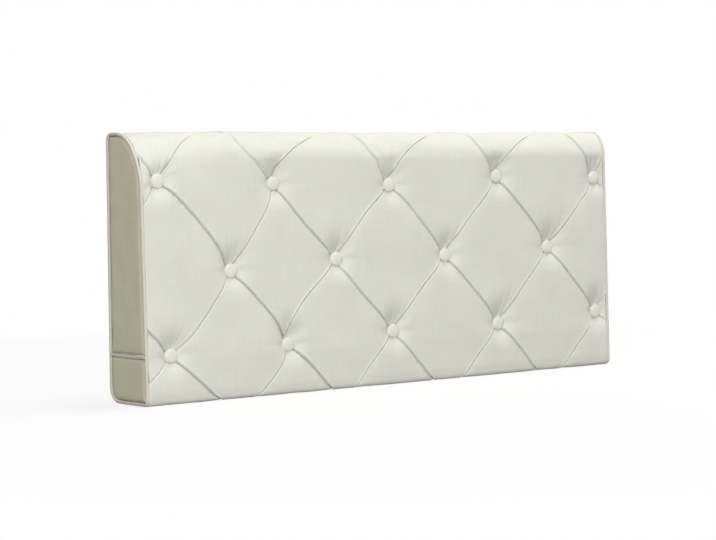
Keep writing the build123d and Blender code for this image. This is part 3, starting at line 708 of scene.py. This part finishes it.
# %% [markdown]
# ## The cover itself
#
# Heights are laid off along the outline's outward direction. The faces of
# the open back window are left out, so the frame and the struts' inserts can
# be reached, and Solidify gives the cloth its thickness and closes the rims.

# %% Build the cover
placed_x = x + move_x
y, z, out_y, out_z = cover_outline.at(s + move_s, placed_x)
points = np.stack([placed_x, y + height * out_y, z + height * out_z], axis=1)
points[:, 2] = np.maximum(points[:, 2], 0.0)

quads = grid_quads(*grid_x.shape, ring_rows=True)
rows, columns = quads.shape[:2]
row_number, column_number = np.arange(rows)[:, None], np.arange(columns)[None, :]
window_start = len(up) - 1 + sum(n for _, _, n in back_runs[:2])
window_end = window_start + back_runs[2][2]
in_window = (row_number >= window_start) & (row_number < window_end)
in_window = in_window & (column_number >= END_CELLS) & (column_number < columns - END_CELLS)
block_sum = np.minimum(row_number // CELLS, 3) + (column_number - END_CELLS) // CELLS + 1
rising = (row_number < 4 * CELLS) & (block_sum % 2 == 0)
up_right, up_left = quads[rising & ~in_window], quads[~rising & ~in_window]
triangles = [
    up_right[:, [0, 1, 2]], up_right[:, [0, 2, 3]], up_left[:, [0, 1, 3]], up_left[:, [1, 2, 3]],
]
cover_uv = np.stack([x, s], axis=1) * MM
cover = make_mesh("linen_cover", points * MM, triangles, uv=cover_uv)
thicken(cover, CLOTH)
finish_piece(cover, linen_front, ["front_cover"])

# %% [markdown]
# ## Foam and wadding inside
#
# A slab of foam lies in front of the face board, dimpled where the buttons
# pull, and a strip of foam lies over the top rail. Thin wadding softens both
# ends. None of it shows when the pad is whole, but each is its own piece.
# They use the same outline, drawn in by the thickness of the quilt.

# %% Filling materials
def cellular(name, dark, light, cell):
    """Open-cell foam or wadding: small round cells, cell metres across, in colour and relief."""
    material, tree, place = new_material(name)
    cells = add_node(tree, "TexVoronoi", {"Vector": place, "Scale": 1 / cell})
    finish = {"Roughness": 0.95, "Specular IOR Level": 0.2}
    end_material(tree, cells, (dark, light), cells, (0.6, cell / 2), finish)
    return material


foam = cellular("open-cell polyurethane foam", "#D8CBA0", "#EFE6C4", 1.5 * MM)
wadding = cellular("carded polyester wadding", "#DEDDD6", "#F4F3EE", 3 * MM)
print("filling materials:", foam.name, "and", wadding.name)

# %% Foam and wadding pieces
END_FILLING = 6.0
FRAME_END = LENGTH / 2 - 2 * CLOTH - END_FILLING
BOARD_FRONT, FRAME_BACK = 6.5, 59.5
CLEAR = 0.3  # Left between pieces that lie against each other.
DIMPLE, DIMPLE_RADIUS = 9.0, 22.0


def band(name, profile, more, low, high, columns, depths, sink=None):
    """Closed prism: a closed profile (y, z) carried from x = low to high, with flat ends.

    more is how far each point moves where the section is full, depths holds the points
    between two depths, and sink, a function of x and z, moves the front points in along +Y.
    """
    x = np.linspace(low, high, columns)
    count = len(profile)
    points = np.zeros((count, columns, 3))
    points[..., 0] = x
    points[..., 1:] = profile[:, None, :] + fullness(x)[:, None] * more[:, None, :]
    points[..., 1] = np.clip(points[..., 1], *depths)
    if sink is not None:
        points[..., 1] += sink(points[..., 0], points[..., 2]) * (points[..., 1] < BOARD_FRONT - 12)
    sides = grid_quads(count, columns, ring_rows=True).reshape(-1, 4)
    ends = points[:, [0, -1]].mean(axis=0)
    ring = np.arange(count) * columns
    low_cap = fan(count * columns, ring)
    high_cap = fan(count * columns + 1, ring + columns - 1, turned=True)
    points = np.concatenate([points.reshape(-1, 3), ends])
    return make_mesh(name, points * MM, [sides, low_cap, high_cap])


def dimples(x, z):
    """Hollows in the foam behind the buttons: a bell at each."""
    deep = np.zeros_like(x)
    for bx, bz in zip(button_x, button_z):
        deep += DIMPLE * np.exp(-(((x - bx) ** 2 + (z - bz) ** 2) / DIMPLE_RADIUS ** 2))
    return deep


QUILT, FOAM_BOTTOM, BACK_POINTS = 15.8, 2.0, 12
FOAM_ENDS = (0.5 - FRAME_END, FRAME_END - 0.5)
foam_back, strip_front = BOARD_FRONT - CLEAR, BOARD_FRONT + CLEAR
core = Outline(QUILT, DEPTH / 2 - FRAME_BACK, FOAM_BOTTOM)
rising = (core.distance <= core.end_of["crest"]) & (core.points[:, 0] < foam_back)
climb = core.points[rising]
down = np.linspace(climb[-1, 1], FOAM_BOTTOM, BACK_POINTS)
profile = np.concatenate([climb, np.stack([np.full_like(down, foam_back), down], axis=1)])
more = np.concatenate([core.fuller[rising], np.zeros((BACK_POINTS, 2))])
front_foam = band("foam_slab", profile, more, *FOAM_ENDS, 200, (-DEPTH, foam_back), sink=dimples)
finish_piece(front_foam, foam, ["front_foam"])

top_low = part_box("top_foam")[0].z / MM + 0.1
over = (core.distance <= core.end_of["back"]) & (core.points[:, 0] > strip_front)
over = over & (core.points[:, 1] > top_low)
crown = core.points[over]
profile = np.concatenate([crown, [[crown[-1, 0], top_low], [strip_front, top_low]]])
more = np.concatenate([core.fuller[over], np.zeros((2, 2))])
top_foam = band("foam_strip", profile, more, *FOAM_ENDS, 60, (strip_front, DEPTH))
finish_piece(top_foam, foam, ["top_foam"])

end_outline = Outline(16.0, 7.0, 7.0)
for side, name in ((-1, "left"), (1, "right")):
    low, high = sorted((side * (FRAME_END + 0.2), side * (FRAME_END + 3.0)))
    ring = end_outline.points[:-1], end_outline.fuller[:-1]
    piece = band(name + "_end_fleece", *ring, low, high, 3, (-DEPTH, DEPTH))
    finish_piece(piece, wadding, [name + "_end_wadding"])

# %% [markdown]
# ## End panels and piping
#
# Each end is closed by a flat linen panel sewn in two parts, with piping all
# round and across the low seam. The panel swells a little between its seams
# and is drawn in at them. Piping is a cord in a strip of linen cut on the
# bias, so a round profile is carried along the outline, and faint slanting
# ridges show where the strip is stretched round the cord.

# %% End panels
PANEL_INSET = 2 * PIPING_RADIUS + CLEAR
PANEL_EDGE, PANEL_CLOTH = LENGTH / 2 - 7.0, 1.2
CROSS_SEAM = 90.0
SWELL, SWELL_ROUND = 6.5, 2.4
PUCKER, PUCKER_LENGTH, PUCKER_REACH = 0.22, 17.0, 7.0
panel_outline = Outline(PANEL_INSET, PANEL_INSET, PANEL_INSET)
front_run = panel_outline.distance <= panel_outline.end_of["crest"]
back_run = panel_outline.distance >= panel_outline.end_of["top"]


def panel_sides(z, side):
    """Front and back edge of an end panel at each height."""
    ring = panel_outline.ring(side * LENGTH / 2)
    front = np.interp(z, ring[front_run, 1], ring[front_run, 0])
    falling = ring[back_run][::-1]
    falling = falling[falling[:, 1].argsort(kind="stable")]
    return front, np.interp(z, falling[:, 1], falling[:, 0])


def crowded(count):
    """Shares from nought to one that lie closer together near both ends."""
    return 0.5 * (1 - np.cos(np.linspace(0, math.pi, count)))


def end_panel(name, side, z_low, z_high, rows, seed):
    """Panel surface: x stands out by a swell that rises from nought at every seam."""
    z = z_low + (z_high - z_low) * crowded(rows)
    front, back = (edge[:, None] for edge in panel_sides(z, side))
    y = front + (back - front) * crowded(60)
    z = np.broadcast_to(z[:, None], y.shape)
    edge = np.maximum(np.minimum.reduce([y - front, back - y, z - z_low, z_high - z]), 0)
    swell = SWELL * (1 - np.exp(-edge / SWELL_ROUND))
    swell += waves(np.random.default_rng(seed), y, z, 0.10, 40, 120, 12)
    pucker = PUCKER * np.sin(z * math.tau / PUCKER_LENGTH + 1.5 * np.sin(z / 31))
    x = side * (PANEL_EDGE + swell + pucker * np.exp(-edge / PUCKER_REACH))
    points = np.stack([x, y, z], axis=-1).reshape(-1, 3)
    faces = grid_quads(*y.shape).reshape(-1, 4)
    if side < 0:
        faces = faces[:, ::-1]
    piece = make_mesh(name, points * MM, [faces], uv=points[:, 1:] * MM)
    thicken(piece, PANEL_CLOTH)
    return piece


for side, name in ((-1, "left"), (1, "right")):
    seam_low, seam_high = CROSS_SEAM - 3.3, CROSS_SEAM + 3.3
    upper = end_panel(name + "_end_linen", side, seam_high, HEIGHT - PANEL_INSET - 0.1, 140, 11)
    lower = end_panel(name + "_end_linen_low", side, PANEL_INSET + 0.1, seam_low, 50, 12)
    finish_piece(upper, linen_sides_painted_shade, [name + "_side_panel"])
    finish_piece(lower, linen_sides_painted_shade, [name + "_lower_panel"])

# %% Piping
TUBE_SIDES, RIDGE, RIDGE_SHARE = 14, 6.0, 0.015


def tube(name, centres, across, radius, closed):
    """Tube along a path in a YZ plane: a circle in the plane of the outward direction and X.

    The radius swells by slanting ridges, where the bias strip is pulled tight.
    """
    gaps = np.linalg.norm(np.diff(centres, axis=0), axis=1)
    run = np.concatenate([[0], np.cumsum(gaps)])[:, None]
    turn = np.linspace(0, math.tau, TUBE_SIDES, endpoint=False)
    ridges = np.sin(math.tau * run / RIDGE + 2 * turn)
    round_x, round_out = np.sin(turn)[:, None] * [1.0, 0.0, 0.0], np.cos(turn)[:, None]
    rippled = radius * (1 - RIDGE_SHARE + RIDGE_SHARE * ridges)[..., None]
    points = centres[:, None, :] + rippled * (round_out * across[:, None, :] + round_x)
    points = points.reshape(-1, 3)
    faces = [grid_quads(len(run), TUBE_SIDES, ring_rows=closed, ring_columns=True).reshape(-1, 4)]
    uv = np.stack(np.broadcast_arrays(run, turn * radius), axis=-1).reshape(-1, 2) * MM
    if not closed:
        ring, count = np.arange(TUBE_SIDES), len(points)
        faces += [fan(count, ring, turned=True), fan(count + 1, count - TUBE_SIDES + ring)]
        points = np.concatenate([points, centres[[0, -1]]])
        uv = np.concatenate([uv, np.zeros((2, 2))])
    return make_mesh(name, points * MM, faces, uv=uv)


path = Outline(PIPING_RADIUS, PIPING_RADIUS, PIPING_RADIUS + CLEAR)
walk = np.arange(0, path.length - 1.0, 2.4)
cross_share = np.linspace(0, 1, 52)
for side, name in ((-1, "left"), (1, "right")):
    middle_x = side * (LENGTH / 2 - PIPING_RADIUS)
    y, z, out_y, out_z = path.at(walk, side * LENGTH / 2)
    centres = np.stack([np.full_like(y, middle_x), y, z], axis=1)
    outward = np.stack([np.zeros_like(y), out_y, out_z], axis=1)
    ring = tube(name + "_bias_piping", centres, outward, PIPING_RADIUS, True)
    finish_piece(ring, linen_piping_painted_shade, [name + "_piping"])
    front, back = panel_sides(np.array([CROSS_SEAM]), side)
    centres = np.stack([
        np.full_like(cross_share, middle_x), front + (back - front) * cross_share,
        CROSS_SEAM - 1.2 * np.sin(math.pi * cross_share),
    ], axis=1)
    upward = np.tile([0.0, 0.0, 1.0], (len(centres), 1))
    cross = tube(name + "_bias_cross_piping", centres, upward, PIPING_RADIUS, False)
    finish_piece(cross, linen_piping_painted_shade, [name + "_cross_piping"])

# %% [markdown]
# ## Covered buttons
#
# A covered button is a domed metal mould with linen stretched over it and
# gathered underneath. Its shape is a profile turned about the button's own
# axis: a flat back, a thick rounded rim and a low dome. Small puckers at the
# rim are where the round of cloth is drawn in. Each button sits at the bottom
# of its funnel, square to the cover at that place.

# %% Buttons
POCKET = 15.0
BUTTON_BACK, BUTTON_TOP, BUTTON_TURNS = 0.2, 11.6, 48


def button_profile():
    """Radius and height: from the back, round the rim and over the dome, just short of its top."""
    rim = np.radians(np.linspace(-80, 55, 9))
    rim_radius = BUTTON_RADIUS - 3.4 + 4.0 * np.cos(rim)
    rim_height = 5.0 + 4.6 * np.sin(rim)
    dome = np.linspace(0, 1, 12)[1:-1] * math.pi / 2
    dome_height = rim_height[-1] + (BUTTON_TOP - rim_height[-1]) * np.sin(dome)
    radius = np.concatenate([[6.0], rim_radius, rim_radius[-1] * np.cos(dome)])
    return radius[:, None], np.concatenate([[BUTTON_BACK], rim_height, dome_height])[:, None]


def button(name, number):
    """Button turned about the cover's outward direction: rows from the back to the crown."""
    radius, height = button_profile()
    angle = np.linspace(0, math.tau, BUTTON_TURNS, endpoint=False)
    local = np.random.default_rng(40 + number)
    pucker = sum(
        size * np.sin(count * angle + local.uniform(0, math.tau))
        for count, size in ((11, 0.5), (17, 0.5), (7, 0.4))
    )
    r = radius * (1 + 0.008 * pucker * np.exp(-((height - 4.0) / 3.0) ** 2) * (radius > 8))
    flat = np.stack(np.broadcast_arrays(r * np.cos(angle), r * np.sin(angle), height), axis=-1)
    flat = np.concatenate([flat.reshape(-1, 3), [[0, 0, BUTTON_BACK], [0, 0, BUTTON_TOP]]])
    y, z, out_y, out_z = (float(v) for v in cover_outline.at(button_s[number], button_x[number]))
    along, outward = np.array([1.0, 0.0, 0.0]), np.array([0.0, out_y, out_z])
    base = np.array([button_x[number], y, z]) - outward * POCKET
    points = base + flat @ np.stack([along, np.cross(outward, along), outward])
    ring, count = np.arange(BUTTON_TURNS), r.size
    faces = [
        grid_quads(*r.shape, ring_columns=True).reshape(-1, 4),
        fan(count, ring, turned=True), fan(count + 1, count - BUTTON_TURNS + ring),
    ]
    piece = make_mesh("linen_" + name, points * MM, faces, uv=flat[:, :2] * MM)
    finish_piece(piece, linen_button, [name])


button_rows = (("top", len(TOP_X)), ("middle", len(MIDDLE_X)), ("bottom", len(BOTTOM_X)))
button_names = [f"{row}_button_{k + 1}" for row, count in button_rows for k in range(count)]
for number, name in enumerate(button_names):
    button(name, number)

# %% [markdown]
# ## Dust cloths on the back
#
# The open back is closed by three pieces of thin spun cloth, stapled over the
# cover's edges. They leave a strip of each stud bare for the struts. The
# cloth is held flat at its staples and hangs in by a few millimetres between
# them, with faint pulls.

# %% Dust cloths
spun, tree, place = new_material("spun-bonded polypropylene dust cloth")
fibres = add_node(
    tree, "TexNoise", {"Vector": place, "Scale": 420.0, "Detail": 4.0, "Roughness": 0.7},
)
finish = {"Roughness": 0.85, "Specular IOR Level": 0.3}
end_material(tree, fibres, ("#B3AFA3", "#D2CEC2"), fibres, (0.4, 0.3 * MM), finish)

CLOTH_LOW, CLOTH_HIGH, CLOTH_Y = 30.5, 483.5, 61.8
STUD, BARE = 345.0, 18.0
STAPLED, SAG, SAG_RUN, DUST_THICKNESS = 32.0, 1.6, 60.0, 0.5
cloth_spans = (
    ("dust_cloth_left", 0.3 - COVER_END, -STUD - BARE),
    ("dust_cloth_middle", BARE - STUD, STUD - BARE),
    ("dust_cloth_right", STUD + BARE, COVER_END - 0.3),
)
for number, (name, low, high) in enumerate(cloth_spans):
    cx = np.linspace(low, high, int((high - low) / 5))[None, :]
    cz = np.linspace(CLOTH_LOW, CLOTH_HIGH, 90)[:, None]
    edge = np.minimum(np.minimum(cx - low, high - cx), np.minimum(cz - CLOTH_LOW, CLOTH_HIGH - cz))
    loose = np.clip((edge - STAPLED) / SAG_RUN, 0, 1)
    ripple = waves(np.random.default_rng(60 + number), cx, cz, 0.22, 50, 160, 14)
    cy = CLOTH_Y - loose ** 2 * (SAG + np.clip(ripple, -1.4, 1.4))
    points = np.stack(np.broadcast_arrays(cx, cy, cz), axis=-1).reshape(-1, 3)
    piece = make_mesh(name, points * MM, [grid_quads(*cy.shape).reshape(-1, 4)[:, ::-1]])
    thicken(piece, DUST_THICKNESS)
    finish_piece(piece, spun, ["back_cloth"])

# %% [markdown]
# ## Wood, metal and twine of the frame
#
# The frame keeps its CAD meshes, and only gets its finishes. Softwood shows
# long grain along each rail or stile, so its pattern is stretched along that
# piece's own axis. Plywood shows a broad peeled grain. Screws, inserts and
# staples are zinc-plated or bare steel, with the scratches of a driver.

# %% Frame materials
def sawn_wood(name, light, dark, stretch, ring=9 * MM):
    """Softwood: noise drawn out along the grain, bent into growth lines, with fine pores."""
    material, tree, place = new_material(name)
    along = add_node(tree, "Mapping", {"Vector": place, "Scale": stretch})
    slow = add_node(tree, "TexNoise", {"Vector": along, "Scale": 0.35 / ring, "Detail": 2.0})
    lines = add_node(tree, "Math", {0: slow, 1: 60.0}, operation="MULTIPLY")
    growth = add_node(tree, "Math", {0: lines}, operation="SINE")
    pores = add_node(tree, "TexNoise", {"Vector": along, "Scale": 900.0, "Detail": 3.0})
    mixed = add_node(tree, "Math", {0: growth, 1: 0.28, 2: pores}, operation="MULTIPLY_ADD")
    end_material(tree, mixed, (light, dark), mixed, (0.3, 0.2 * MM), {"Roughness": 0.65})
    return material


def steel(name, base, roughness):
    """Plated steel: fine turning scratches in the relief, and a slightly uneven roughness."""
    material, tree, place = new_material(name)
    scratch = add_node(tree, "TexNoise", {"Vector": place, "Scale": 1500.0, "Detail": 3.0})
    rough = add_node(
        tree, "MapRange",
        {"Value": scratch, "To Min": roughness - 0.08, "To Max": roughness + 0.08},
    )
    relief = add_node(tree, "Bump", {"Height": scratch, "Strength": 0.2, "Distance": 0.05 * MM})
    shader = add_node(
        tree, "BsdfPrincipled",
        {"Base Color": colour(base), "Metallic": 1.0, "Roughness": rough, "Normal": relief},
    )
    add_node(tree, "OutputMaterial", {"Surface": shader})
    return material


pine_across = sawn_wood("planed pine, grain along X", "#E3C898", "#B98F58", (0.06, 1.0, 1.0))
pine_upright = sawn_wood("planed pine, grain upright", "#E3C898", "#B98F58", (1.0, 1.0, 0.06))
plywood = sawn_wood("birch plywood, sanded", "#E6D2AC", "#CDB082", (0.10, 1.0, 0.45), ring=30 * MM)
zinc = steel("zinc-plated steel", "#C9CACB", 0.32)
staple_wire = steel("galvanised staple wire", "#B9BABC", 0.40)
twine = linen("waxed tufting twine", "#D8CBA6", "#B9A880", "Object", yarn=0.5 * MM, bump=0.6)

node_materials = {
    pine_across: "bottom_rail top_rail corner_blocks",
    pine_upright: "left_stile right_stile left_strut_stud right_strut_stud",
    plywood: "face_board",
    zinc: "strut_inserts frame_screws board_screws stud_screws twine_washers",
    staple_wire: "cloth_staples",
    twine: "tufting_twines",
}
finishes = [(node, material) for material, nodes in node_materials.items() for node in nodes.split()]
for node, material in finishes:
    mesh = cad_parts[node].data
    if mesh.materials:
        for index in range(len(mesh.materials)):
            mesh.materials[index] = material
    else:
        mesh.materials.append(material)
print("CAD nodes with a finish:", len(finishes))

# %% [markdown]
# ## Floor, light and background
#
# The pad stands on a pale floor in soft studio light: a broad lamp overhead
# and slightly in front, which picks out the crest and the upper edge of every
# pleat, two broad ones in front and at the front left, a weak one behind on
# the right, and an even surround. The background is white only for what the
# camera and reflections see, so that it adds nothing to the light on the
# cloth. The floor throws little light back up, as a floor under studio flags
# does, so that cloth that faces down stays darker. Most of what the camera
# sees of the floor is plain white, so only a faint shadow is left on it.

# %% Floor and surround
FLOOR_SIZE = 12.0
WHITE_SHARE, WHITE_FROM, WHITE_TO = 0.8, 0.8, 1.6
SURROUND = 0.30
WHITE = (1.0, 1.0, 1.0, 1.0)


def seen_share(tree):
    """One for what the camera sees, straight or in a reflection; nought for light on a piece."""
    rays = add_node(tree, "LightPath")
    seen = rays.outputs["Is Camera Ray"]
    for kind in ("Is Glossy Ray", "Is Transmission Ray"):
        seen = add_node(tree, "Math", {0: seen, 1: rays.outputs[kind]}, operation="MAXIMUM")
    return seen


floor_points = np.array([[-1, -1, 0], [1, -1, 0], [1, 1, 0], [-1, 1, 0]]) * FLOOR_SIZE
floor = make_mesh("studio_floor", floor_points, [np.array([[0, 1, 2, 3]])])
floor_material, tree, place = new_material("matt white floor")
seen = seen_share(tree)
from_middle = add_node(tree, "VectorMath", {0: place}, operation="LENGTH").outputs["Value"]
far = add_node(
    tree, "MapRange", {"Value": from_middle, "From Min": WHITE_FROM, "From Max": WHITE_TO},
)
faint = add_node(tree, "Math", {0: far, 1: WHITE_SHARE}, operation="MAXIMUM")
plain = add_node(tree, "Math", {0: seen, 1: faint}, operation="MULTIPLY")
tint = add_node(
    tree, "Mix", {"Factor": seen, "A": colour("#5A5A58"), "B": colour("#F4F4F2")}, data_type="RGBA",
)
matt = add_node(tree, "BsdfDiffuse", {"Color": tint.outputs["Result"]})
white = add_node(tree, "Emission", {"Color": WHITE, "Strength": 1.0})
mixed = add_node(tree, "MixShader", {"Fac": plain, 1: matt, 2: white})
add_node(tree, "OutputMaterial", {"Surface": mixed})
floor.data.materials.append(floor_material)

world = bpy.data.worlds.new("studio surround")
bpy.context.scene.world = world
world.use_nodes = True
tree = world.node_tree
tree.nodes.clear()
dim, bright = (
    add_node(tree, "Background", {"Color": WHITE, "Strength": light}) for light in (SURROUND, 1.0)
)
mixed = add_node(tree, "MixShader", {"Fac": seen_share(tree), 1: dim, 2: bright})
add_node(tree, "OutputWorld", {"Surface": mixed})
print("floor and surround:", floor_material.name, "and", world.name)


# %% Lamps
def lamp(name, direction, distance, size, power):
    """Square soft lamp at a distance in a direction from the middle of the pad, facing it."""
    middle, toward = Vector((0, 0, 0.25)), Vector(direction).normalized()
    data = bpy.data.lights.new(name, "AREA")
    data.shape = "SQUARE"
    data.size = size
    data.energy = power
    data.color = (1.0, 1.0, 0.995)
    holder = bpy.data.objects.new(name, data)
    bpy.context.scene.collection.objects.link(holder)
    rotation = toward.to_track_quat("Z", "Y").to_matrix().to_4x4()
    holder.matrix_world = Matrix.Translation(middle + toward * distance) @ rotation
    print("lamp:", name, power, "W")


lamp("overhead, slightly in front", (0.32, -0.13, 0.93), 4.0, 2.6, 107.0)
lamp("front", (-0.05, -0.98, 0.20), 8.0, 4.0, 240.0)
lamp("front left", (-0.72, -0.68, 0.15), 6.0, 3.0, 202.0)
lamp("behind on the right, weak", (0.66, 0.73, 0.15), 5.0, 2.5, 120.0)

# %% [markdown]
# ## Camera
#
# The photograph was taken from the front left, a little above the middle of
# the pad, with a long lens. Its place, turn and lens were fitted to the
# outline of the pad, so the render lines up with the photograph. A camera
# looks along its own -Z, so it is raised to the horizon and turned from there.

# %% Camera
CAMERA_PLACE = (-2.8539, -3.40199, 0.43805)
YAW, PITCH, ROLL = (math.radians(angle) for angle in (39.4907, 2.7467, -0.6556))
FOCAL_PIXELS, PICTURE_WIDTH, SENSOR = 2223.45, 716, 36.0
camera_data = bpy.data.cameras.new("camera")
camera_data.sensor_width = SENSOR
camera_data.sensor_fit = "HORIZONTAL"
camera_data.lens = FOCAL_PIXELS / PICTURE_WIDTH * SENSOR
camera = bpy.data.objects.new("camera", camera_data)
bpy.context.scene.collection.objects.link(camera)
pose = Matrix.Translation(CAMERA_PLACE)
for axis, angle in (("Z", -YAW), ("X", math.pi / 2 - PITCH), ("Z", ROLL)):
    pose = pose @ Matrix.Rotation(angle, 4, axis)
camera.matrix_world = pose
bpy.context.scene.camera = camera
bpy.context.scene.view_settings.view_transform = "Standard"
print("lens:", round(camera_data.lens, 2), "mm")
